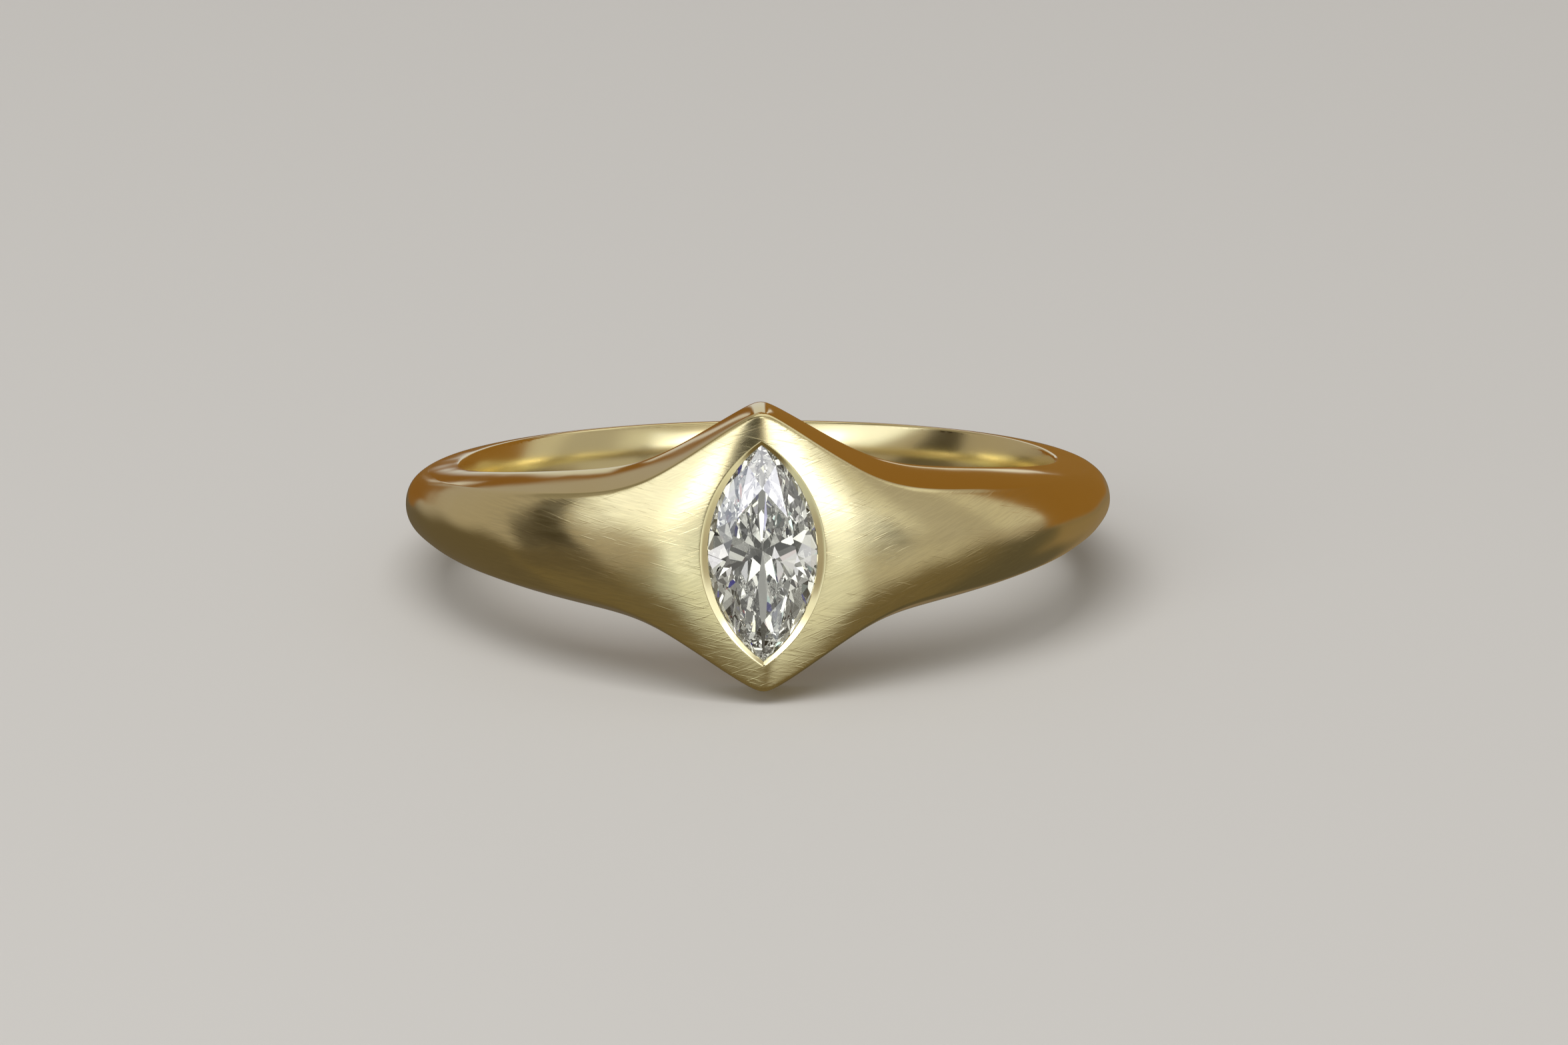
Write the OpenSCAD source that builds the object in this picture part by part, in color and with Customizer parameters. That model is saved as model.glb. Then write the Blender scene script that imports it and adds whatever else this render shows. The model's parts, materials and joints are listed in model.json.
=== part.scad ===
// Gypsy ring: a band that widens into a head with two points, with a marquise stone set flush in it.
// It lies on its side, as it rests by itself: on the head's lower point and on the back of the band.

/* [Finger hole] */
// Radius of the finger hole
bore_r = 8.25; // [7.4:0.05:9.8]

/* [Band] */
// Width of the band at the back
shank_w = 2; // [1.7:0.05:2.4]
// Growth of each half of the width from the back to the head, apart from the points
shoulder_rise = 1.18; // [1:0.02:1.5]
// Angle from the head at which the band has narrowed to its back width
shoulder_end = 105; // [85:5:120]

/* [Head] */
// Slope of the straight flanks that rise to each point
flank_slope = 0.59; // [0.4:0.01:0.65]
// Sideways distance from the middle at which a flank runs out into the shoulder
flank_end = 3.1; // [2.6:0.1:3.4]
// Softness of that run-out
flank_blend = 0.55; // [0.3:0.05:0.8]
// Rounding of each point
point_r = 0.15; // [0.1:0.01:0.3]

/* [Stone] */
// Length of the marquise
stone_l = 6.08; // [5.6:0.02:6.3]
// Width of the marquise
stone_w = 3.1; // [2.8:0.02:3.3]
// Height of the crown above the girdle
crown_h = 0.4; // [0.3:0.02:0.5]
// Thickness of the girdle
girdle_h = 0.1; // [0.08:0.01:0.14]
// Depth of the pavilion below the girdle
pavilion_h = 1.33; // [1.1:0.01:1.4]
// Share of the stone's size that the table takes
table_share = 0.6; // [0.54:0.01:0.66]
// Share of the way from the table to the girdle that the star facets reach
star_share = 0.5; // [0.4:0.05:0.6]
// Share of the way from the girdle to the culet that the lower halves reach
half_share = 0.7; // [0.6:0.05:0.8]

/* [Setting] */
// Depth of the girdle's upper edge below the top of the head
girdle_sink = 0.45; // [0.4:0.01:0.6]
// Gap between the stone and the metal round it
seat_gap = 0.02; // [0.015:0.005:0.04]
// Reach of the metal lip over the girdle
lip = 0.045; // [0.03:0.005:0.08]
// Lean of the bright-cut lip, in degrees from upright
lip_lean = 27; // [15:1:35]
// Width of the hole behind the stone
azure_w = 1.4; // [1:0.1:1.8]

/* [Hidden] */
$fn = 128;

GOLD = [0.85, 0.76, 0.5];
DIAMOND = [0.88, 0.92, 0.95];

// Sections of the band by angle from the middle of the head: thickness of the wall, rise of the outer
// face's crown, fall of the outer edge below the inner one, and radius of the outer edge
ANGLE = 0;
THICK = 1;
CROWN = 2;
FALL = 3;
EDGE = 4;
SECTIONS = [
    [0, 2.35, 0.45, 0.09, 0.18],
    [12, 2.32, 0.42, 0.23, 0.2],
    [26, 2.2, 0.38, 0.49, 0.32],
    [45, 1.98, 0.46, 0.46, 0.5],
    [70, 1.77, 0.66, 0.28, 0.52],
    [100, 1.68, 0.76, 0.15, 0.48],
    [180, 1.6, 0.76, 0.12, 0.45],
];

sections = 96; // round the ring
edge_steps = 4; // round each outer edge
crown_steps = 10; // across the outer face
inner_r = bore_r - 0.3; // the solid starts inside the finger hole, which is then cut
head_gather = 0.55; // how much closer the sections stand at the head than on average
head_r = bore_r + SECTIONS[0][THICK];
girdle_r = head_r - girdle_sink; // the girdle's upper edge
lip_h = 0.05; // the lip's lower edge stands this far above the girdle
bearing_share = 0.86; // lean of the bearing under the stone, as a share of the pavilion's own
overlap = 0.01; // neighbouring cutters share this much
beyond = 1; // cutters and blanks run on this far past what they shape

// A ramp that is 0 below 0 and v above it, with a soft corner
function soft(v, blend) = blend * ln(1 + exp(v / blend));

// Slope of a column at a row of the table, level at both ends
function row_slope(i, column) =
    i == 0 || i == len(SECTIONS) - 1 ? 0
        : let(before = SECTIONS[i - 1], after = SECTIONS[i + 1])
            (after[column] - before[column]) / (after[ANGLE] - before[ANGLE]);

// A column of the table at any angle, on a smooth curve through the rows
function column_at(column, angle) =
    let(
        a = min(abs(angle), 179.999),
        i = max([for (k = [0 : len(SECTIONS) - 2]) if (SECTIONS[k][ANGLE] <= a) k]),
        span = SECTIONS[i + 1][ANGLE] - SECTIONS[i][ANGLE],
        t = (a - SECTIONS[i][ANGLE]) / span,
        v0 = SECTIONS[i][column],
        v1 = SECTIONS[i + 1][column],
        s0 = row_slope(i, column) * span,
        s1 = row_slope(i + 1, column) * span
    )
    v0 + t * s0 + t * t * (3 * (v1 - v0) - 2 * s0 - s1) + t * t * t * (2 * (v0 - v1) + s0 + s1);

// Half the band's width at an angle from the head and a radius from the finger's axis
function half_w(angle, r) =
    let(
        fade = abs(angle) < shoulder_end ? (1 + cos(180 * angle / shoulder_end)) / 2 : 0,
        across = norm([r * sin(angle), point_r]),
        front = abs(angle) < 90 ? 1 : 0
    )
    shank_w / 2 + shoulder_rise * fade + front * flank_slope * soft(flank_end - across, flank_blend);

// The direction at an angle
function compass(a) = [cos(a), sin(a)];

// Upper half of a section as [radius, height]: straight side, rounded edge, half of the crowned face
function upper_profile(angle) =
    let(
        outer = bore_r + column_at(THICK, angle),
        crown = column_at(CROWN, angle),
        edge = column_at(EDGE, angle),
        corner_r = outer - crown,
        inner = [bore_r, half_w(angle, bore_r)],
        corner = [corner_r, half_w(angle, corner_r) - column_at(FALL, angle)],
        along = (corner - inner) / norm(corner - inner),
        inward = [along[1], -along[0]],
        face_r = (corner[1] * corner[1] + crown * crown) / (2 * crown),
        face_mid = [outer - face_r, 0],
        from_mid = inner + edge * inward - face_mid,
        back = from_mid * along,
        run = sqrt(back * back - from_mid * from_mid + pow(face_r - edge, 2)) - back,
        edge_mid = inner + edge * inward + run * along,
        a0 = atan2(-inward[1], -inward[0]),
        a1 = atan2(edge_mid[1] - face_mid[1], edge_mid[0] - face_mid[0])
    )
    concat(
        [inner - along * (bore_r - inner_r) / along[0]],
        [for (k = [0 : edge_steps]) edge_mid + edge * compass(a0 + (a1 - a0) * k / edge_steps)],
        [for (k = [1 : crown_steps / 2]) face_mid + face_r * compass(a1 * (1 - 2 * k / crown_steps))]
    );

// A whole section, from its upper inner corner over the outer face to its lower inner corner
function profile(angle) =
    let(upper = upper_profile(angle), n = len(upper))
    concat(upper, [for (k = [n - 2 : -1 : 0]) [upper[k][0], -upper[k][1]]]);

// Angle of a section: they stand closest at the head, where the outline turns most
function section_angle(i) =
    let(u = 2 * i / sections - 1)
    180 * u * (1 - head_gather * (1 - u * u));

// Lowest point of a section that lies before (-1) or behind (1) the axis, when the ring leans back
function lowest(angle, way, lean) =
    let(bore_edge = [bore_r, half_w(angle, bore_r)])
    min([
        for (p = concat([bore_edge], upper_profile(angle))) if (p[0] >= bore_r)
            -p[0] * way * sin(lean) - p[1] * cos(lean)
    ]);

// The lean at which the head's lower point and the back of the band touch the ground together
function rest_lean(low, high, steps) =
    let(mid = (low + high) / 2)
    steps == 0 ? mid
        : lowest(0, -1, mid) < lowest(180, 1, mid) ? rest_lean(mid, high, steps - 1)
        : rest_lean(low, mid, steps - 1);

lean = rest_lean(0, 30, 24);
section_size = len(profile(0));
band_points = [
    for (i = [0 : sections - 1]) let(a = section_angle(i))
        for (p = profile(a)) [p[0] * sin(a), -p[0] * cos(a), p[1]]
];
band_ys = [for (p = band_points) p[1] * cos(lean) + p[2] * sin(lean)];
rest_y = -(min(band_ys) + max(band_ys)) / 2;
rest_z = -lowest(0, -1, lean);

// Turns what is built round the finger's axis, head towards -Y, to how the ring lies
module as_it_lies() {
    translate([0, rest_y, rest_z]) rotate([-lean, 0, 0]) children();
}

// Turns a shape that looks up, with its length along Y, to face out of the head at a radius
module on_head(r) {
    translate([0, -r, 0]) rotate([90, 0, 0]) children();
}

// Radius of the two arcs that make a marquise
function arc_radius(length, width) = (length * length + width * width) / (4 * width);

// A marquise post between two levels: where two round posts overlap.
// Its walls lean out by out for each unit of height, and length and width hold at the level at.
module marquise(length, width, z0, z1, out = 0, at = 0) {
    r = arc_radius(length, width);
    intersection_for (side = [-1, 1])
        translate([side * (r - width / 2), 0, z0])
            cylinder(r1 = r + out * (z0 - at), r2 = r + out * (z1 - at), h = z1 - z0);
}

// The swept body of the band, not yet bored
module swept_band() {
    polyhedron(
        points = band_points,
        faces = [
            for (i = [0 : sections - 1]) for (k = [0 : section_size - 1])
                let(
                    a = i * section_size + k,
                    b = i * section_size + (k + 1) % section_size,
                    c = ((i + 1) % sections) * section_size + k,
                    d = ((i + 1) % sections) * section_size + (k + 1) % section_size
                )
                each [[a, c, d], [a, d, b]]
        ]
    );
}

// Everything cut away for the stone: lip, groove for the girdle, bearing under it, and the hole behind
module seat() {
    lip_l = stone_l - 2 * lip;
    lip_w = stone_w - 2 * lip;
    groove_l = stone_l + 2 * seat_gap;
    groove_w = stone_w + 2 * seat_gap;
    groove_z = -girdle_h - seat_gap;
    bearing_out = bearing_share * stone_w / 2 / pavilion_h;
    bearing_h = (groove_w - azure_w) / 2 / bearing_out;
    bearing_z = groove_z - bearing_h;
    groove_r = arc_radius(groove_l, groove_w);
    azure_l = 2 * sqrt(pow(groove_r - bearing_out * bearing_h, 2) - pow(groove_r - groove_w / 2, 2));
    on_head(girdle_r) {
        marquise(lip_l, lip_w, lip_h - overlap, girdle_sink + beyond, tan(lip_lean), lip_h);
        marquise(groove_l, groove_w, groove_z, lip_h);
        marquise(groove_l, groove_w, bearing_z, groove_z + overlap, bearing_out, groove_z);
        marquise(azure_l, azure_w, -girdle_r, bearing_z + overlap);
    }
}

// Shank, shoulders and head in one piece
module ring_band() {
    bore_h = 2 * (half_w(0, bore_r) + beyond);
    color(GOLD) as_it_lies() difference() {
        swept_band();
        translate([0, 0, -bore_h / 2]) cylinder(r = bore_r, h = bore_h);
        seat();
    }
}

// The outline's points run counter-clockwise from the lower tip:
// even ones lie under the main facets, and odd ones between two of them
MAINS = 8;
outline_r = arc_radius(stone_l, stone_w);
outline_off = outline_r - stone_w / 2;
outline_turn = atan2(stone_l / 2, outline_off);
culet_z = -girdle_h - pavilion_h;
skirt_z = -girdle_h / 2;
// Taken off the length and width, so that the round girdle cuts across the end of each facet
girdle_polish = 0.002;

// Which side of the stone a point is on, and its angle round that side's arc
function side_of(j) = (j + 2 * MAINS) % (2 * MAINS) < MAINS ? 1 : -1;
function arc_angle(j) = outline_turn * (2 * ((j + 2 * MAINS) % MAINS) / MAINS - 1);

// A point of the outline, and the outward direction there; at the two tips it runs along the stone
function outline_at(j) =
    let(a = arc_angle(j))
    side_of(j) * [outline_r * cos(a) - outline_off, outline_r * sin(a)];
function outline_way(j) =
    let(a = arc_angle(j))
    side_of(j) * (j % MAINS == 0 ? [0, -1] : [cos(a), sin(a)]);

// Where the tangents under two neighbouring main facets cross
function tangents_cross(i) =
    let(
        n = outline_way(2 * i),
        m = outline_way(2 * i + 2),
        s = n * outline_at(2 * i),
        t = m * outline_at(2 * i + 2)
    )
    [s * m[1] - t * n[1], t * n[0] - s * m[0]] / (n[0] * m[1] - m[0] * n[1]);

function at_height(p, z) = [p[0], p[1], z];

// Inner corners of the facets: the table's, the stars' outer tips and the lower halves' inner tips
table_points = [for (i = [0 : MAINS - 1]) at_height(table_share * outline_at(2 * i), crown_h)];
star_reach = table_share + (1 - table_share) * star_share;
star_tips = [
    for (i = [0 : MAINS - 1])
        at_height(star_reach * tangents_cross(i), crown_h * (1 - star_share))
];
half_tips = [
    for (i = [0 : MAINS - 1])
        at_height((1 - half_share) * tangents_cross(i), culet_z + pavilion_h * (1 - half_share))
];

// Direction square to the facet between outline points j and j + 1, which rises from its own tip
function half_normal(tips, z, j) =
    let(tip = tips[floor(j / 2)])
    cross(at_height(outline_at(j), z) - tip, at_height(outline_at(j + 1), z) - tip);

// The same facets run on past the girdle's edge, as far as the middle of the girdle
function skirt(tips, z) = [
    for (j = [0 : 2 * MAINS - 1])
        let(
            before = (j + 2 * MAINS - 1) % (2 * MAINS),
            ridge = cross(half_normal(tips, z, before), half_normal(tips, z, j)),
            g = at_height(outline_at(j), z)
        )
        g + ridge * (skirt_z - z) / ridge[2]
];

// A closed block with cut facets on one side.
// Its points are the inner ones, the tips, the girdle's, the skirt's and those of the flat end.
module facet_block(inner, inner_faces, tips, z, end_z) {
    out = skirt(tips, z);
    t0 = len(inner);
    g0 = t0 + MAINS;
    e0 = g0 + MAINS;
    f0 = e0 + 2 * MAINS;
    down = end_z > z; // the facets look down where the flat end is above them
    faces = concat(
        inner_faces,
        [for (i = [0 : MAINS - 1]) let(n = (i + 1) % MAINS, mid = e0 + 2 * i + 1) each [
            [t0 + i, mid, e0 + 2 * i, g0 + i],
            [t0 + i, g0 + n, e0 + 2 * n, mid],
        ]],
        [for (j = [0 : 2 * MAINS - 1]) let(k = (j + 1) % (2 * MAINS)) [e0 + j, e0 + k, f0 + k, f0 + j]],
        [[for (j = [0 : 2 * MAINS - 1]) f0 + j]]
    );
    polyhedron(
        points = concat(
            inner,
            tips,
            [for (i = [0 : MAINS - 1]) at_height(outline_at(2 * i), z)],
            out,
            [for (p = out) at_height(p, end_z)]
        ),
        faces = down ? [for (f = faces) [for (k = [len(f) - 1 : -1 : 0]) f[k]]] : faces
    );
}

// Table, star facets, bezel facets and upper halves
module crown() {
    facet_block(
        table_points,
        concat(
            [[for (i = [MAINS - 1 : -1 : 0]) i]],
            [for (i = [0 : MAINS - 1]) let(n = (i + 1) % MAINS, p = (i + MAINS - 1) % MAINS) each [
                [i, n, MAINS + i],
                [i, MAINS + i, 2 * MAINS + i, MAINS + p],
            ]]
        ),
        star_tips, 0, culet_z - beyond
    );
}

// Main facets down to the culet and lower halves
module pavilion() {
    facet_block(
        [[0, 0, culet_z]],
        [for (i = [0 : MAINS - 1]) [0, 1 + i, 1 + MAINS + i, 1 + (i + MAINS - 1) % MAINS]],
        half_tips, -girdle_h, crown_h + beyond
    );
}

// The marquise brilliant, with its table facing out of the head
module marquise_stone() {
    polished_l = stone_l - girdle_polish;
    polished_w = stone_w - girdle_polish;
    color(DIAMOND) as_it_lies() on_head(girdle_r) intersection() {
        marquise(polished_l, polished_w, culet_z - beyond / 2, crown_h + beyond / 2);
        crown();
        pavilion();
    }
}

ring_band();
marquise_stone();
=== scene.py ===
import json
import math
import bpy
import bmesh
import numpy as np
from mathutils import Matrix, Vector


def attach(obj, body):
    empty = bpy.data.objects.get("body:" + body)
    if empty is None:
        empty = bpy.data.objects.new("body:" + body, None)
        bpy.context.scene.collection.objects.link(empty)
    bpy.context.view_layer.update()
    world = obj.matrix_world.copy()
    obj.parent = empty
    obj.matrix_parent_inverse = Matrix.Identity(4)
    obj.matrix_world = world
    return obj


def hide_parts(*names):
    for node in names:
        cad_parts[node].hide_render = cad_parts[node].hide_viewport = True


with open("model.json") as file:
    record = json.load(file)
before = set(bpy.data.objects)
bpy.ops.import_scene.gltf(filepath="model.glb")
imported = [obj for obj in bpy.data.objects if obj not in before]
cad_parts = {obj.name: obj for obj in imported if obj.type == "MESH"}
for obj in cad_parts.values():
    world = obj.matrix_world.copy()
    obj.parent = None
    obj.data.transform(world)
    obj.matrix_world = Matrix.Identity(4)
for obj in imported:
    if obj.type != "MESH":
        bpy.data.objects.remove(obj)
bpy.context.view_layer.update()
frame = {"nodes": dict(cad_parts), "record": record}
print("frame loaded:", ", ".join(sorted(frame["nodes"])))

mm = 0.001
fingerHole = frame["record"]["mounts"][0]  # the ring's own axis, middle and bore come from this mount
ringMiddle = np.array(fingerHole["pos_m"])
ringAxis = np.array(fingerHole["axis"])
leanBack = math.atan2(ringAxis[1], ringAxis[2])  # the lying ring's axis leans towards +Y


def asItLies(points):
    # turns points from the upright ring, in mm with the head towards -Y, to the lying ring in metres
    x, y, z = np.moveaxis(points, -1, 0)
    c, s = math.cos(leanBack), math.sin(leanBack)
    return np.stack([x, y * c + z * s, z * c - y * s], axis=-1) * mm + ringMiddle


# Ring band

ring = {
    "bore": fingerHole["dims"]["r_mm"],
    "backWidth": 2.0,
    "shoulderRise": 1.18,  # growth of each half of the width from back to head
    "shoulderEnd": 105.0,  # degrees from the head where the band is at its back width
    "flankSlope": 0.60,  # straight flanks up to each point of the head
    "flankEnd": 3.17,
    "flankBlend": 0.55,
    "pointRound": 0.26,
    # degrees from the head, wall, rise of the crowned face, fall of the outer edge, radius of that edge
    "sections": (
        (0, 2.35, 0.45, 0.09, 0.18),
        (12, 2.32, 0.42, 0.23, 0.20),
        (26, 2.20, 0.38, 0.49, 0.32),
        (45, 1.98, 0.46, 0.46, 0.50),
        (70, 1.77, 0.66, 0.28, 0.52),
        (100, 1.68, 0.76, 0.15, 0.48),
        (180, 1.60, 0.76, 0.12, 0.45),
    ),
    "comfort": 0.15,  # the finger hole is this much wider at its edges than in its middle
    "innerEdge": 0.09,  # rounding between finger hole and sides
    "sideCrown": 4.5,  # degrees that the sides turn away to each edge
    "wave": 0.010,  # unevenness left by hand filing
    "waveFade": 0.75,  # power of its fade to the edges of the face
    # height of each wave, its number round the ring, its start and its slant over the face
    "hills": (
        (1.0, 9, 1.3, 1.1),
        (0.8, 17, -0.6, -2.3),
        (0.7, 26, 2.1, 3.1),
        (0.5, 13, 0.4, 4.0),
    ),
    # faces round the ring, then across each stretch of its section
    "around": 600,
    "acrossFace": 32,
    "acrossEdge": 10,
    "acrossSide": 8,
    "acrossInner": 5,
    "acrossBore": 32,
    "headSpan": 24.0,  # degrees to each side that the patch round the stone covers
    "outwards": 18,  # rows from the stone's rim to the edge of that patch
    "crowding": 1.4,  # power that spaces those rows; above 1 they lie closer at the rim
    "faceRounds": 12,  # corrections that find a point on the outer face
    "boreRounds": 8,  # and on the wall of the finger hole
    "mergeWithin": 0.0002,  # mm between points that become one
    "sharpAbove": 32.0,  # degrees between faces that shade as an edge
}


def sectionValue(column, angle):
    # a column of the sections at any angle: cubic pieces through the rows, level at head and back
    rows = np.array(ring["sections"], float)
    at, value = rows[:, 0], rows[:, column]
    slope = np.zeros(len(at))
    slope[1:-1] = (value[2:] - value[:-2]) / (at[2:] - at[:-2])
    a = np.minimum(np.abs(angle), at[-1])
    i = np.clip(np.searchsorted(at, a, side="right") - 1, 0, len(at) - 2)
    span = at[i + 1] - at[i]
    t = (a - at[i]) / span
    v0, v1, s0, s1 = value[i], value[i + 1], slope[i] * span, slope[i + 1] * span
    return v0 + t * s0 + t**2 * (3 * (v1 - v0) - 2 * s0 - s1) + t**3 * (2 * (v0 - v1) + s0 + s1)


def halfWidth(angle, r):
    # half of the back width, plus a cosine swell to the head, plus soft-ended straight flanks to its points
    a = np.abs(angle)
    swell = np.where(a < ring["shoulderEnd"], (1 + np.cos(np.pi * a / ring["shoulderEnd"])) / 2, 0)
    across = np.hypot(r * np.sin(np.radians(angle)), ring["pointRound"])
    flank = ring["flankBlend"] * np.log1p(np.exp((ring["flankEnd"] - across) / ring["flankBlend"]))
    return ring["backWidth"] / 2 + ring["shoulderRise"] * swell + (a < 90) * ring["flankSlope"] * flank


def sectionShape(angle):
    # the circles and lines of one half section, in radius and height, for an array of angles
    wall, crown, fall, edge = (sectionValue(k, angle) for k in (1, 2, 3, 4))
    outer = ring["bore"] + wall
    cornerR = outer - crown
    innerR = ring["bore"] + ring["comfort"]
    inner = np.stack([np.full_like(wall, innerR), halfWidth(angle, innerR)], axis=-1)
    corner = np.stack([cornerR, halfWidth(angle, cornerR) - fall], axis=-1)
    along = corner - inner
    along /= np.linalg.norm(along, axis=-1, keepdims=True)
    inward = np.stack([along[..., 1], -along[..., 0]], axis=-1)
    faceR = (corner[..., 1] ** 2 + crown**2) / (2 * crown)
    faceMid = np.stack([outer - faceR, np.zeros_like(wall)], axis=-1)
    start = inner + edge[..., None] * inward
    gap = start - faceMid
    back = np.sum(gap * along, axis=-1)
    run = np.sqrt(back**2 - np.sum(gap**2, axis=-1) + (faceR - edge) ** 2) - back
    edgeMid = start + run[..., None] * along
    reach = edgeMid - faceMid
    return {
        "inner": inner,
        "along": along,
        "inward": inward,
        "edge": edge,
        "edgeMid": edgeMid,
        "edgeFrom": np.arctan2(-inward[..., 1], -inward[..., 0]),
        "edgeTo": np.arctan2(reach[..., 1], reach[..., 0]),
        "faceR": faceR,
        "faceMid": faceMid,
    }


def handWave(angle, across):
    # slow hills and hollows of the hand-filed face: a sum of slanting sines, none at its edges
    a = np.radians(angle)
    hills = sum(height * np.sin(count * a + start + slant * across)
                for height, count, start, slant in ring["hills"])
    return ring["wave"] * hills * np.clip(1 - across**2, 0, 1) ** ring["waveFade"]


def facePoint(angle, across):
    # the crowned outer face, an arc from the upper edge (across 1) to the lower one (across -1)
    s = sectionShape(angle)
    bend = s["edgeTo"] * across
    r = s["faceMid"][..., 0] + s["faceR"] * np.cos(bend) + handWave(angle, across)
    return r, s["faceR"] * np.sin(bend)


def roundTheRing(angle, r, h):
    a = np.radians(angle)
    return np.stack([r * np.sin(a), -r * np.cos(a), h], axis=-1)


def edgeStrip(angle):
    # half a section from the end of the crowned face to the finger hole: round edge, side, small inner edge
    s = sectionShape(angle[:, None])
    turn = math.radians(ring["sideCrown"])
    t = np.linspace(1, 0, ring["acrossEdge"] + 1)[None, :]
    a = s["edgeFrom"] - turn + (s["edgeTo"] - s["edgeFrom"] + turn) * t
    outerEdge = s["edgeMid"] + s["edge"][..., None] * np.stack([np.cos(a), np.sin(a)], axis=-1)
    e = ring["innerEdge"]
    slope = np.arctan2(s["along"][..., 1], s["along"][..., 0])
    cut = e * np.tan((np.pi / 2 - slope) / 2)  # distance from the corner to where the inner rounding starts
    begin = s["inner"] + s["along"] * cut[..., None]
    centre = begin + s["inward"] * e
    lean = np.arctan(2 * ring["comfort"] / s["inner"][..., 1])  # slope of the finger hole at its edge
    t = np.linspace(0, 1, ring["acrossInner"] + 1)[None, :]
    a = s["edgeFrom"] + turn + (np.pi - lean - s["edgeFrom"] - turn) * t
    innerEdge = centre + e * np.stack([np.cos(a), np.sin(a)], axis=-1)
    t = np.linspace(0, 1, ring["acrossSide"] + 1)[None, 1:-1, None]
    chord = innerEdge[:, :1] - outerEdge[:, -1:]
    # the side is a parabola that meets both edges smoothly
    rise = np.linalg.norm(chord, axis=-1, keepdims=True) * math.tan(turn)
    side = outerEdge[:, -1:] + chord * t - s["inward"] * rise * t * (1 - t)
    return np.concatenate([outerEdge, side, innerEdge], axis=1)


def borePoint(angle, level):
    # wall of the finger hole, a parabola from its upper edge (level 1) to the lower one (level -1)
    end = edgeStrip(np.ravel(angle))[:, -1].reshape(*np.shape(angle), 2)
    return ring["bore"] + (end[..., 0] - ring["bore"]) * level**2, end[..., 1] * level


# Seat for the stone, in the head's own plane: x across, z along the finger, depth from the ring's axis

seat = {
    "stoneLength": 6.08,
    "stoneWidth": 3.10,
    "girdle": 10.15,  # radius of the girdle's upper edge
    "girdleThick": 0.10,
    "rimLength": 6.20,  # outline of the bright-cut rim where it meets the face
    "rimWidth": 3.42,
    "rimRound": 0.015,
    "rimRows": 4,
    "bevelShare": 0.9,  # of the way from that outline to the stone, cut as a flat bevel
    "bevelDrop": 0.36,  # its fall for each mm of its width
    "lipInset": 0.07,  # the lip's lower edge lies this far inside the girdle
    "lipHeight": 0.07,
    "gap": 0.02,
    "holeWidth": 1.40,  # hole behind the stone
    "bearingLean": 1.0023,  # width of the sloping bearing under the girdle for each mm of its depth
    "lipRows": 3,
}


def marquise(length, width, share):
    # two arcs that cross at the tips; share runs from 0 at the upper tip, clockwise, to 1
    r = (length**2 + width**2) / (4 * width)
    off = r - width / 2
    full = math.atan2(length / 2, off)
    side = np.where(share < 0.5, 1.0, -1.0)
    a = full * np.where(share < 0.5, 1 - 4 * share, 4 * share - 3)
    return np.stack([side * (r * np.cos(a) - off), r * np.sin(a)], axis=-1)


def onFace(xz):
    # where a point of the head's plane lies on the outer face, by repeated correction of angle and across
    x, z = xz[..., 0], xz[..., 1]
    r = np.full_like(x, ring["bore"] + ring["sections"][0][1])
    for _ in range(ring["faceRounds"]):
        angle = np.degrees(np.arcsin(x / r))
        s = sectionShape(angle)
        across = np.arcsin(z / s["faceR"]) / s["edgeTo"]
        r = facePoint(angle, across)[0]
    return angle, across


def onBore(xz):
    # the same for the wall of the finger hole
    x, z = xz[..., 0], xz[..., 1]
    r = np.full_like(x, ring["bore"])
    for _ in range(ring["boreRounds"]):
        angle = np.degrees(np.arcsin(x / r))
        level = z / borePoint(angle, 1.0)[1]
        r = borePoint(angle, level)[0]
    return angle, level


def frameOfPatch(span, steps, crossSteps):
    # walks clockwise, seen from outside, round a patch of angle and height (1 to -1), from its top middle
    half = np.linspace(0, span, steps // 2 + 1)
    down = np.linspace(1, -1, crossSteps + 1)
    angle = np.concatenate([
        half[:-1],
        np.full(crossSteps, span),
        np.linspace(span, -span, steps + 1)[:-1],
        np.full(crossSteps, -span),
        (half - span)[:-1],
    ])
    height = np.concatenate([
        np.ones(steps // 2),
        down[:-1],
        -np.ones(steps),
        -down[:-1],
        np.ones(steps // 2),
    ])
    return angle, height


class Shell:
    # gathers grids of points into one mesh
    # polish is 0 on satin gold, 1 on polished gold and 2 in the finger hole
    def __init__(self):
        self.points = []
        self.faces = []
        self.polish = []
        self.count = 0

    def add(self, points, polish, closed=False, flip=False):
        rows, cols = points.shape[:2]
        index = np.arange(rows * cols).reshape(rows, cols) + self.count
        right = np.roll(index, -1, axis=1) if closed else index[:, 1:]
        left = index if closed else index[:, :-1]
        quads = np.stack([left[:-1], right[:-1], right[1:], left[1:]], axis=-1).reshape(-1, 4)
        self.faces.append(quads[:, ::-1] if flip else quads)
        self.points.append(points.reshape(-1, 3))
        self.polish.append(np.broadcast_to(polish, (rows, cols)).reshape(-1))
        self.count += rows * cols

    def build(self, name, sharpAngle):
        mesh = bpy.data.meshes.new(name)
        points = asItLies(np.concatenate(self.points))
        mesh.from_pydata(points.tolist(), [], np.concatenate(self.faces).tolist())
        polish = mesh.attributes.new("polish", "FLOAT", "POINT")
        polish.data.foreach_set("value", np.concatenate(self.polish).astype(np.float32))
        work = bmesh.new()
        work.from_mesh(mesh)
        bmesh.ops.remove_doubles(work, verts=work.verts, dist=ring["mergeWithin"] * mm)
        work.to_mesh(mesh)
        work.free()
        mesh.shade_smooth()
        mesh.set_sharp_from_angle(angle=sharpAngle)
        made = bpy.data.objects.new(name, mesh)
        bpy.context.scene.collection.objects.link(made)
        return made


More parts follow.
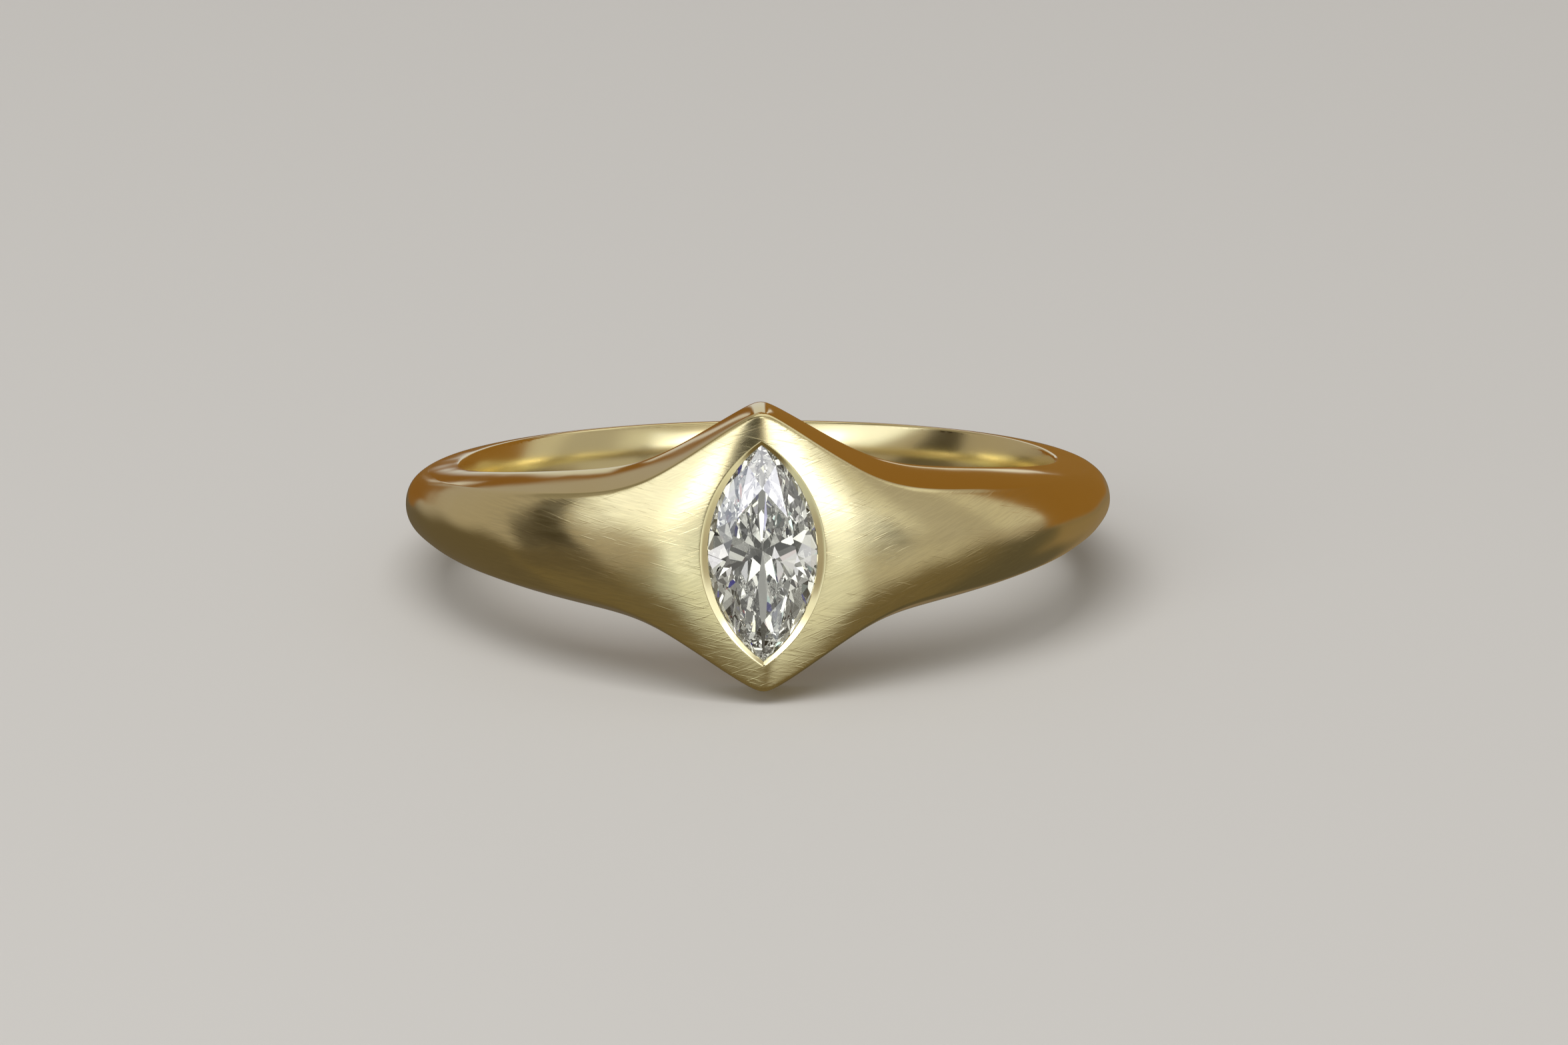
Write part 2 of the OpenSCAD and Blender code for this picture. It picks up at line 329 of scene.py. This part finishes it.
def seatLoops(share, edgeTop):
    # marquises one inside the other: round top edge, bright-cut rim, groove, bearing, hole behind the stone
    def loop(length, width, radius):
        xz = marquise(length, width, share)
        return np.stack([xz[:, 0], np.broadcast_to(-np.asarray(radius), share.shape), xz[:, 1]], axis=-1)

    rimAngle, rimAcross = onFace(marquise(seat["rimLength"], seat["rimWidth"], share))
    rimRadius = facePoint(rimAngle, rimAcross)[0] * np.cos(np.radians(rimAngle))
    lipRadius = seat["girdle"] + seat["lipHeight"]
    corner = loop(seat["rimLength"], seat["rimWidth"], rimRadius)
    inset = 2 * seat["lipInset"]
    low = loop(seat["stoneLength"] - inset, seat["stoneWidth"] - inset, lipRadius)
    bevel = corner + (low - corner) * seat["bevelShare"]
    bevel[:, 1] = corner[:, 1] + np.hypot(*(bevel - corner)[:, ::2].T) * seat["bevelDrop"]
    inside = corner + (bevel - corner) * (seat["rimRound"] / np.linalg.norm(bevel - corner, axis=-1))[:, None]
    rounded = [edgeTop * (1 - s) ** 2 + corner * 2 * s * (1 - s) + inside * s**2
               for s in np.linspace(0, 1, seat["rimRows"] + 1)]
    wall = [a + (b - a) * k / seat["lipRows"] for a, b in ((inside, bevel), (bevel, low))
            for k in range(1, seat["lipRows"] + 1)]
    grooveL, grooveW = seat["stoneLength"] + 2 * seat["gap"], seat["stoneWidth"] + 2 * seat["gap"]
    grooveFloor = seat["girdle"] - seat["girdleThick"] - seat["gap"]
    grooveR = (grooveL**2 + grooveW**2) / (4 * grooveW)
    bearing = (grooveW - seat["holeWidth"]) / 2
    holeL = 2 * math.sqrt((grooveR - bearing) ** 2 - (grooveR - grooveW / 2) ** 2)
    holeAngle, holeLevel = onBore(marquise(holeL, seat["holeWidth"], share))
    under = [
        loop(grooveL, grooveW, lipRadius),
        loop(grooveL, grooveW, grooveFloor),
        loop(holeL, seat["holeWidth"], grooveFloor - bearing / seat["bearingLean"]),
        roundTheRing(holeAngle, *borePoint(holeAngle, holeLevel)),
    ]
    return np.stack(rounded + wall + under), holeAngle, holeLevel


def makeRing():
    shell = Shell()
    span = ring["headSpan"]
    steps = int(round(span / 360 * ring["around"])) * 2
    restSteps = (ring["around"] - steps) // 2
    head = np.linspace(-span, span, steps + 1)
    sides = [np.linspace(span, 180, restSteps + 1), np.linspace(-180, -span, restSteps + 1)]

    for angle in sides:  # crowned face and finger hole away from the head
        a, t = np.meshgrid(angle, np.linspace(1, -1, ring["acrossFace"] + 1), indexing="ij")
        shell.add(roundTheRing(a, *facePoint(a, t)), 0.0)
        a, level = np.meshgrid(angle, np.linspace(1, -1, ring["acrossBore"] + 1), indexing="ij")
        shell.add(roundTheRing(a, *borePoint(a, level)), 2.0, flip=True)

    for angle in (*sides, head):  # round edges and flat sides, upper then lower
        strip = edgeStrip(angle)
        polish = np.clip(np.arange(strip.shape[1]) / ring["acrossEdge"], 0, 1)
        for way in (1, -1):
            shell.add(roundTheRing(angle[:, None], strip[..., 0], way * strip[..., 1]), polish, flip=way > 0)

    # face round the stone: straight lines of angle and across, from the rim to the patch's frame
    outAngle, outAcross = frameOfPatch(span, steps, ring["acrossFace"])
    share = np.arange(len(outAngle)) / len(outAngle)
    grown = 2 * seat["rimRound"]
    inAngle, inAcross = onFace(marquise(seat["rimLength"] + grown, seat["rimWidth"] + grown, share))
    t = (np.linspace(0, 1, ring["outwards"] + 1) ** ring["crowding"])[:, None]
    a = inAngle * (1 - t) + outAngle * t
    shell.add(roundTheRing(a, *facePoint(a, inAcross * (1 - t) + outAcross * t)), 0.0, closed=True)

    loops, holeAngle, holeLevel = seatLoops(share, roundTheRing(inAngle, *facePoint(inAngle, inAcross)))
    shell.add(loops, np.minimum(np.arange(len(loops)) / 2, 1)[:, None], closed=True, flip=True)

    # finger hole at the head: the same lines, from the hole behind the stone to the patch's frame
    outLevel = frameOfPatch(span, steps, ring["acrossBore"])[1]
    t = np.linspace(0, 1, ring["outwards"] + 1)[:, None]
    a = holeAngle * (1 - t) + outAngle * t
    shell.add(roundTheRing(a, *borePoint(a, holeLevel * (1 - t) + outLevel * t)), 2.0, closed=True, flip=True)
    return shell.build("goldRing", math.radians(ring["sharpAbove"]))


goldRing = makeRing()
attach(goldRing, "root")
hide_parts("ring_band")
print("ring band:", len(goldRing.data.polygons), "faces")


# Shader helpers


class Signal:
    # one output of a node; sums, differences and products of signals and numbers add Math nodes
    def __init__(self, graph, socket):
        self.graph = graph
        self.socket = socket

    def __add__(self, other):
        return self.graph.math("ADD", self, other)

    def __radd__(self, other):
        return self.graph.math("ADD", other, self)

    def __sub__(self, other):
        return self.graph.math("SUBTRACT", self, other)

    def __rsub__(self, other):
        return self.graph.math("SUBTRACT", other, self)

    def __mul__(self, other):
        return self.graph.math("MULTIPLY", self, other)

    def __rmul__(self, other):
        return self.graph.math("MULTIPLY", other, self)


class Graph:
    # a material's node tree, filled by expressions
    def __init__(self, name):
        self.material = bpy.data.materials.new(name)
        self.material.use_nodes = True
        self.tree = self.material.node_tree
        self.tree.nodes.clear()

    def node(self, kind, settings=None, sockets=None, out=0):
        # settings first, then the sockets' values or links
        made = self.tree.nodes.new(kind)
        for name, value in (settings or {}).items():
            setattr(made, name, value)
        for name, value in (sockets or {}).items():
            if isinstance(value, Signal):
                self.tree.links.new(value.socket, made.inputs[name])
            else:
                made.inputs[name].default_value = value
        return Signal(self, made.outputs[out])

    def math(self, operation, *values):
        return self.node("ShaderNodeMath", {"operation": operation}, dict(enumerate(values)))

    def vectorMath(self, operation, *values):
        return self.node("ShaderNodeVectorMath", {"operation": operation}, dict(enumerate(values)))

    def parts(self, vector):
        x = self.node("ShaderNodeSeparateXYZ", {}, {0: vector})
        return x, *(Signal(self, x.socket.node.outputs[k]) for k in (1, 2))

    def mixed(self, factor, a, b):
        return self.node("ShaderNodeMix", {"data_type": "RGBA"}, {0: factor, 6: a, 7: b}, 2)

    def ramp(self, value, low, high):
        # 0 below low, 1 above high, soft in between
        return self.node("ShaderNodeMapRange", {"interpolation_type": "SMOOTHSTEP"},
                         {"Value": value, "From Min": low, "From Max": high})

    def noise(self, vector, scale, detail=2.0):
        return self.node("ShaderNodeTexNoise", {}, {"Vector": vector, "Scale": scale, "Detail": detail})

    def finish(self, shader):
        output = self.tree.nodes.new("ShaderNodeOutputMaterial")
        self.tree.links.new(shader.socket, output.inputs["Surface"])
        return self.material


# Satin gold

gold = {
    "pale": (0.90, 0.80, 0.45, 1),
    "deep": (0.86, 0.73, 0.36, 1),
    "scratched": (0.66, 0.57, 0.31, 1),
    "satinRough": 0.16,
    "polishRough": 0.09,
    "boreRough": 0.19,
    # tilt in degrees, scale along and across the strokes, detail
    "strokes": {
        "fineLeft": (-8, 1.4, 24.0, 3.0),
        "fineRight": (24, 1.6, 28.0, 3.0),
        "coarse": (6, 0.7, 6.0, 3.0),
        "scratchDown": (-14, 1.1, 20.0, 1.0),
        "scratchUp": (20, 1.1, 20.0, 1.0),
    },
    "cloudScale": 0.55,
    "patchScale": 0.8,  # patches brushed one way or the other
    "patchEdge": (0.42, 0.58),
    "patchDrift": 0.03,  # more of the second way to the right, for each mm
    "scratchEdge": (0.62, 0.74),
    "strokeEdge": (0.35, 0.65),
    "strokeTint": 0.30,  # share of the scratched colour in the strokes
    "strokeRough": 0.12,  # roughness that each kind of stroke adds at most
    "strokeSmooth": 0.09,  # taken off the sum of both
    "streakShare": 0.6,
    "streakDepth": 0.0024 * mm,
    "scratchDepth": 0.0012 * mm,
    "dentScale": 0.9,
    "dentDepth": 0.010 * mm,
    "brushedFrom": (5.5, 8.0),  # mm in front of the ring's middle where the brushed finish fades in
    "brushedLeast": 0.2,
    "shineEdge": (0.2, 0.7),  # values of polish between which satin turns to polished gold
    "shineUneven": 0.3,
    "boreEdge": (1.3, 1.9),
}


def goldMaterial():
    g = Graph("satinGold")
    place = g.node("ShaderNodeTexCoord", out="Object")
    # in mm from the ring's middle, turned upright: x across, z along the finger
    upright = g.node("ShaderNodeMapping", {"vector_type": "TEXTURE"}, {
        "Vector": place, "Location": ringMiddle, "Rotation": (-leanBack, 0, 0), "Scale": (mm, mm, mm)})
    x, depth, z = g.parts(upright)

    def strokes(name):
        # noise drawn out along the band, its strokes tilted by an angle
        tilt, along, across, detail = gold["strokes"][name]
        turned = g.node("ShaderNodeMapping", {}, {"Vector": upright, "Rotation": (0, math.radians(tilt), 0)})
        return g.noise(g.vectorMath("MULTIPLY", turned, (along, along, across)), 1.0, detail)

    cloud = g.noise(upright, gold["cloudScale"])
    patch = g.ramp(g.noise(upright, gold["patchScale"]) + x * gold["patchDrift"], *gold["patchEdge"])
    fine = strokes("fineLeft") * (1 - patch) + strokes("fineRight") * patch
    coarse = strokes("coarse")
    scratchDown = g.ramp(strokes("scratchDown"), *gold["scratchEdge"])
    scratchUp = g.ramp(strokes("scratchUp"), *gold["scratchEdge"])
    scratches = scratchDown + scratchUp
    polish = g.node("ShaderNodeAttribute", {"attribute_name": "polish"}, {}, "Fac")
    shine = g.ramp(polish + (cloud - 0.5) * gold["shineUneven"], *gold["shineEdge"])
    brushed = g.ramp(0 - depth, *gold["brushedFrom"]) * (1 - gold["brushedLeast"]) + gold["brushedLeast"]
    satin = brushed * (1 - shine)
    color = g.mixed(cloud, gold["deep"], gold["pale"])
    color = g.mixed(g.ramp(fine, *gold["strokeEdge"]) * satin * gold["strokeTint"], color, gold["scratched"])
    rough = gold["polishRough"] + (gold["satinRough"] - gold["polishRough"]) * (1 - shine)
    rough = rough + g.ramp(polish, *gold["boreEdge"]) * (gold["boreRough"] - gold["polishRough"])
    rough = rough + (coarse * gold["strokeRough"] + fine * gold["strokeRough"] - gold["strokeSmooth"]) * satin
    dents = g.noise(upright, gold["dentScale"], 0.0)
    hammered = g.node("ShaderNodeBump", {}, {"Strength": 1.0, "Distance": gold["dentDepth"], "Height": dents})
    streaks = (fine * gold["streakShare"] + coarse * gold["streakShare"]) * satin
    streaked = g.node("ShaderNodeBump", {}, {
        "Strength": 1.0, "Distance": gold["streakDepth"], "Height": streaks, "Normal": hammered})
    normal = g.node("ShaderNodeBump", {}, {
        "Strength": 1.0, "Distance": gold["scratchDepth"], "Height": scratches * satin, "Normal": streaked})
    return g.finish(g.node("ShaderNodeBsdfPrincipled", {}, {
        "Base Color": color, "Metallic": 1.0, "Roughness": rough, "Normal": normal}))


goldRing.data.materials.append(goldMaterial())
print("gold: satin face, polished edges, sides and finger hole")


# Diamond

diamond = {"color": (1.0, 1.0, 1.0, 1), "ior": 2.417}


def diamondMaterial():
    g = Graph("diamond")
    return g.finish(g.node("ShaderNodeBsdfPrincipled", {}, {
        "Base Color": diamond["color"], "Roughness": 0.0, "IOR": diamond["ior"], "Transmission Weight": 1.0}))


stone = frame["nodes"]["marquise_stone"]
stone.data.materials.clear()
stone.data.materials.append(diamondMaterial())
print("stone:", len(stone.data.polygons), "faces")


# Floor

floor = {"size": 4.0, "color": (0.66, 0.64, 0.61, 1), "rough": 0.7}


def makeFloor():
    half = floor["size"] / 2
    mesh = bpy.data.meshes.new("floor")
    corners = [(-half, -half, 0), (half, -half, 0), (half, half, 0), (-half, half, 0)]
    mesh.from_pydata(corners, [], [(0, 1, 2, 3)])
    made = bpy.data.objects.new("floor", mesh)
    bpy.context.scene.collection.objects.link(made)
    g = Graph("floorPaper")
    mesh.materials.append(g.finish(g.node("ShaderNodeBsdfPrincipled", {}, {
        "Base Color": floor["color"], "Roughness": floor["rough"]})))
    made.visible_glossy = False  # the gold mirrors the tent instead
    made.visible_transmission = False


makeFloor()


# Light tents: balls round the ring, one that the gold mirrors and one that is seen through the stone

# soft-edged patches: lower and upper elevation and softness in degrees, azimuths of the lower side and of
# the upper side, colour; later patches lie over earlier ones
patchRows = {
    "gold": (
        ("footDarkLeft", -60, -7, 10, (-190, -95), (-190, -95), (0.12, 0.095, 0.062)),
        ("footDarkRight", -60, -10, 8, (84, 120), (84, 112), (0.10, 0.085, 0.06)),
        ("footDarkRightLow", -60, -32, 8, (95, 160), (95, 160), (0.10, 0.085, 0.06)),
        ("footPaleRight", -32, -15, 4, (120, 175), (118, 175), (0.25, 0.18, 0.10)),
        ("footFrontLeft", -23, 2, 3, (-43, -28), (-34, -20), (0.58, 0.62, 0.66)),
        ("footFrontMiddle", -20, 0, 3, (-32, 1), (-24, -7), (0.82, 0.87, 0.90)),
        ("footFrontRight", -25, -1, 3, (8, 42), (19, 36), (0.79, 0.82, 0.86)),
        ("footMidRight", -20, 2, 6, (38, 74), (38, 78), (0.46, 0.43, 0.40)),
        ("wallRight", -2, 41, 4, (46, 92), (46, 92), (0.42, 0.39, 0.37)),
        ("wallRightPale", 0, 36, 3, (88, 108), (85, 106), (0.56, 0.53, 0.50)),
        ("wallRightGlow", 10, 31, 6, (40, 58), (40, 60), (0.64, 0.62, 0.60)),
        ("warmBack", 30, 62, 4, (148, 190), (160, 190), (0.24, 0.12, 0.03)),
        ("warmRight", -13, 33, 2, (107, 190), (106, 188), (0.26, 0.13, 0.03)),
        ("warmLeft", -13, 4, 1.5, (-182, -152), (-182, -146), (0.22, 0.10, 0.02)),
        ("warmLeftHigh", 4, 20.5, 1.5, (-182, -164.2), (-182, -167.6), (0.22, 0.10, 0.02)),
        ("warmLeftEnd", 0, 9, 1.5, (-164, -138), (-160, -156), (0.22, 0.10, 0.02)),
        ("paleBehind", -6.3, 16.3, 0.8, (176.5, 185.4), (172, 191), (0.64, 0.63, 0.62)),
        ("paleFlank", -1.2, 7.2, 0.5, (190.2, 192.6), (190.8, 192.6), (0.62, 0.58, 0.55)),
        ("paleLine", 2.5, 14, 0.7, (169.4, 170.6), (169.4, 170.6), (0.90, 0.88, 0.88)),
        ("underFlag", -28, -6, 5, (-88, -54), (-88, -54), (0.115, 0.09, 0.058)),
        ("flag", -7, 33, 3, (-84, -55), (-105, -88), (0.05, 0.04, 0.027)),
        ("frontLow", 0, 11, 3, (-18, 20), (-20, 12), (0.32, 0.33, 0.32)),
        ("windowLeftLow", -7, 9, 3, (-30, -17), (-37, -20), (1.06, 1.14, 1.30)),
        ("windowLeftWide", 5, 39, 3.5, (-40, -22), (-92, -22), (0.97, 1.02, 1.14)),
        ("windowLeftHigh", 16, 38, 3.5, (-52, -24), (-88, -22), (1.20, 1.26, 1.48)),
        ("windowLeft", 15, 28, 4, (-36, -25), (-41, -23), (3.2, 3.2, 3.6)),
        ("windowRightLow", -6, 4, 3, (24, 35), (23, 38), (1.05, 1.12, 1.26)),
        ("windowRightWide", 3, 29, 2.5, (23, 41), (3, 45), (1.18, 1.26, 1.48)),
        ("windowRight", 15, 29, 3, (18, 41), (7, 25), (3.2, 3.2, 3.6)),
        ("shadeRight", -3, 14, 1, (43, 47), (43, 47), (0.05, 0.045, 0.035)),
        ("darkOverhead", 48, 66, 3, (-165, 92), (-165, 92), (0.34, 0.31, 0.27)),
        ("tipShade", 53, 66, 2, (-85, 0), (-85, 0), (0.06, 0.055, 0.045)),
        ("shadeLeftBack", 33, 47, 3, (-150, -98), (-150, -98), (0.25, 0.22, 0.18)),
        ("behindCamera", 7, 46, 2.5, (-22, 3), (-21, -3), (0.04, 0.037, 0.03)),
        ("overTip", 37, 45, 1.5, (-4, 8), (-4, 8), (2.4, 2.4, 2.5)),
    ),
    "stone": (
        ("back", -20, 60, 3, (150, 210), (150, 210), (0.17, 0.17, 0.15)),
        ("lowerGlow", -60, -20, 3, (110, 250), (110, 250), (0.42, 0.42, 0.37)),
        ("keelGlow", 15, 27, 2, (172, 188), (172, 188), (0.30, 0.30, 0.27)),
        ("topGlow", 2, 12, 1.5, (-64, -54), (-64, -54), (1.3, 1.28, 1.28)),
        ("upperLeftWhite", 44, 54, 1.5, (-34, -20), (-34, -20), (0.80, 0.80, 0.78)),
        ("upperRightWhite", 44, 56, 1.5, (16, 34), (16, 34), (0.80, 0.79, 0.75)),
        ("middleShade", -52, -40, 3, (-28, 28), (-28, 28), (0.06, 0.06, 0.05)),
        ("sideShadeLeft", -8, 4, 1, (-52, -42), (-52, -42), (0.05, 0.05, 0.045)),
        ("sideShadeRight", -8, 4, 1, (42, 50), (42, 50), (0.08, 0.08, 0.07)),
        ("centre", -2, 4, 1, (-2.5, 3), (-2.5, 3), (0.24, 0.24, 0.21)),
        ("leftGlow", -3, 5, 1, (-7.3, -4), (-7.3, -4), (1.1, 1.08, 1.05)),
        ("leftShade", -3, 5, 1, (-14, -7.3), (-14, -7.3), (0.04, 0.04, 0.035)),
        ("leftSpark", 8, 14, 1, (-13, -8), (-13, -8), (1.1, 1.08, 1.08)),
        ("leftSparkHigh", 24, 34, 1.5, (-17.5, -11), (-17.5, -11), (1.0, 0.98, 0.98)),
        ("leftShadeHigh", 24, 34, 1.5, (-29, -17.5), (-29, -17.5), (0.06, 0.055, 0.045)),
        ("leftShadeLow", -20, -12.5, 1, (-26, -16), (-26, -16), (0.05, 0.05, 0.04)),
        ("rightShadeLow", -9, -5, 1, (7.5, 11), (7.5, 11), (0.08, 0.08, 0.07)),
        ("rightGlow", -3, 5, 1, (3.8, 5.6), (3.8, 5.6), (0.95, 0.95, 0.93)),
        ("rightShade", -3, 5, 1, (5.6, 9.5), (5.6, 9.5), (0.05, 0.05, 0.045)),
        ("rightSpark", 9, 15, 1, (6, 16), (6, 16), (0.75, 0.74, 0.70)),
        ("rightSparkHigh", 24, 34, 1.5, (11, 22), (11, 22), (0.70, 0.68, 0.64)),
    ),
}
tent = {
    "radius": 0.6,
    "rings": 32,
    "sectors": 64,
    "wall": (0.38, 0.335, 0.30, 1),
    "foot": (0.155, 0.12, 0.068, 1),
    "footEdge": (-18, -6),  # elevations between which the tent's dark foot ends
    "ceiling": (0.80, 0.79, 0.80, 1),
    "ceilingEdge": (36, 46),
    "cellScale": 7.0,  # cells per tent radius in the tent seen through the stone
    "cellDim": 0.02,
    "cellBright": 1.9,
    "fringe": 0.004,  # shift of red and of blue, as the stone's own dispersion gives
    "fringeShare": 0.25,
    "cellWarmth": 0.88,  # share of blue that is left
}


def patched(g, way, color, rows):
    # lays the patches of one tent over a colour, each inside a four-sided frame of azimuth and elevation
    x, y, z = g.parts(way)
    azimuth = g.math("DEGREES", g.math("ARCTAN2", x, 0 - y))
    elevation = g.math("DEGREES", g.math("ARCSINE", z))
    for name, low, high, soft, lower, upper, paint in rows:
        mask = g.ramp(elevation, low - soft, low + soft) * (1 - g.ramp(elevation, high - soft, high + soft))
        middle = (lower[0] + lower[1]) / 2
        turned = g.math("WRAP", azimuth - middle, 180, -180) + middle
        for side, from0, from1 in ((1, lower[0], upper[0]), (-1, lower[1], upper[1])):
            slant = (from1 - from0) / (high - low)  # azimuth gained per degree of elevation
            beyond = (turned - (elevation - low) * slant - from0) * side
            mask = mask * g.ramp(beyond, -soft, soft)
        color = g.mixed(mask, color, (*paint, 1))
    return color


def roomColor(g, way):
    elevation = g.math("DEGREES", g.math("ARCSINE", g.parts(way)[2]))
    color = g.mixed(g.ramp(elevation, *tent["footEdge"]), tent["foot"], tent["wall"])
    return g.mixed(g.ramp(elevation, *tent["ceilingEdge"]), color, tent["ceiling"])


def cellColor(g, way):
    # cells of random brightness, looked up a little apart for red and for blue
    def shade(shift):
        cells = g.node("ShaderNodeTexVoronoi", {}, {
            "Vector": g.vectorMath("ADD", way, (shift, 0.0, shift)), "Scale": tent["cellScale"]}, "Color")
        chance = g.parts(cells)[0]
        return chance * chance * chance * tent["cellBright"] + tent["cellDim"]

    green, share = shade(0.0), tent["fringeShare"]
    red, blue = (shade(shift) * share + green * (1 - share) for shift in (-tent["fringe"], tent["fringe"]))
    warmBlue = blue * tent["cellWarmth"]
    return g.node("ShaderNodeCombineColor", {}, {"Red": red, "Green": green, "Blue": warmBlue})


def makeTent(name, base):
    # a ball by latitude and longitude, lit from inside
    lat = np.linspace(-np.pi / 2, np.pi / 2, tent["rings"] + 1)
    lon = np.linspace(-np.pi, np.pi, tent["sectors"] + 1)
    lat, lon = np.meshgrid(lat, lon, indexing="ij")
    points = np.stack([np.cos(lat) * np.cos(lon), np.cos(lat) * np.sin(lon), np.sin(lat)], axis=-1)
    index = np.arange(lat.size).reshape(lat.shape)
    quads = np.stack([index[:-1, :-1], index[1:, :-1], index[1:, 1:], index[:-1, 1:]], axis=-1)
    mesh = bpy.data.meshes.new(name)
    mesh.from_pydata((points.reshape(-1, 3) * tent["radius"]).tolist(), [], quads.reshape(-1, 4).tolist())
    g = Graph(name)
    way = g.vectorMath("NORMALIZE", g.node("ShaderNodeTexCoord", out="Object"))
    color = patched(g, way, base(g, way), patchRows[name])
    mesh.materials.append(g.finish(g.node("ShaderNodeEmission", {}, {"Color": color, "Strength": 1.0})))
    mesh.materials[0].cycles.emission_sampling = "NONE"
    made = bpy.data.objects.new(name + "Tent", mesh)
    bpy.context.scene.collection.objects.link(made)
    made.location = ringMiddle
    made.visible_camera = False
    made.visible_diffuse = False
    made.visible_shadow = False
    made.visible_glossy = name == "gold"
    made.visible_transmission = name == "stone"


makeTent("gold", roomColor)
makeTent("stone", cellColor)
goldRing.visible_transmission = False  # the light in the stone comes from its own tent
print("light tents:", ", ".join(f"{name} {len(rows)} patches" for name, rows in patchRows.items()))


# Softboxes for the floor

boxes = {  # azimuth and elevation seen from the ring, distance, width, height, brightness
    "overhead": (-20, 65, 0.60, 0.55, 0.40, 3.6),
    "front": (-35, 25, 0.60, 0.35, 0.30, 2.2),
}
ringHeart = Vector(ringMiddle)


def direction(azimuth, elevation):
    # azimuth 0 is in front of the head and grows to the right, elevation is above the floor
    a, e = math.radians(azimuth), math.radians(elevation)
    return Vector((math.sin(a) * math.cos(e), -math.cos(a) * math.cos(e), math.sin(e)))


def addBox(name, azimuth, elevation, distance, width, height, brightness):
    light = bpy.data.lights.new(name, "AREA")
    light.shape = "RECTANGLE"
    light.size = width
    light.size_y = height
    light.energy = brightness * math.pi * width * height
    made = bpy.data.objects.new(name, light)
    bpy.context.scene.collection.objects.link(made)
    way = direction(azimuth, elevation)
    made.location = ringHeart + way * distance
    made.rotation_mode = "QUATERNION"
    made.rotation_quaternion = way.to_track_quat("Z", "Y")
    made.visible_camera = False
    made.visible_glossy = False
    made.visible_transmission = False


for name, values in boxes.items():
    addBox(name, *values)

studio = {"worldColor": (0.80, 0.79, 0.76, 1), "worldStrength": 0.35, "bounces": 24}
world = bpy.data.worlds.new("studio")
bpy.context.scene.world = world
world.use_nodes = True
world.node_tree.nodes["Background"].inputs["Color"].default_value = studio["worldColor"]
world.node_tree.nodes["Background"].inputs["Strength"].default_value = studio["worldStrength"]
bpy.context.scene.view_settings.view_transform = "Standard"
paths = bpy.context.scene.cycles  # long paths, or the tips of the stone stay black
paths.max_bounces = paths.glossy_bounces = paths.transmission_bounces = studio["bounces"]


# Camera

shot = {
    "azimuth": -0.72,
    "aboveRing": 8.6,  # degrees between the view and the ring's own plane
    "roll": -0.3,
    "distance": 0.25,
    "pixelsPerMm": 53.0,  # at the ring's middle, in the photo's 2352 by 1568 pixels
    "photoSize": (2352, 1568),
    "ringAt": (1136.5, 746.0),  # where the ring's middle lies in the photo
    "sensor": 36.0,
    "near": 0.01,
}


def makeCamera():
    data = bpy.data.cameras.new("camera")
    cam = bpy.data.objects.new("camera", data)
    bpy.context.scene.collection.objects.link(cam)
    r = math.radians(shot["roll"])

    def axes(back):
        level = Vector((0, 0, 1)).cross(back).normalized()
        up = back.cross(level)
        return level * math.cos(r) + up * math.sin(r), up * math.cos(r) - level * math.sin(r)

    back = direction(shot["azimuth"], math.degrees(leanBack) + shot["aboveRing"])
    place = ringHeart + back * shot["distance"]
    right, up = axes(back)
    offX, offY = ((size / 2 - at) / shot["pixelsPerMm"] * mm
                  for size, at in zip(shot["photoSize"], shot["ringAt"]))
    back = (place - (ringHeart + right * offX - up * offY)).normalized()
    right, up = axes(back)
    cam.matrix_world = Matrix.Translation(place) @ Matrix((right, up, back)).transposed().to_4x4()
    data.sensor_width = shot["sensor"]
    data.lens = shot["pixelsPerMm"] * shot["distance"] / mm / shot["photoSize"][0] * shot["sensor"]
    data.clip_start = shot["near"]
    bpy.context.scene.camera = cam


makeCamera()
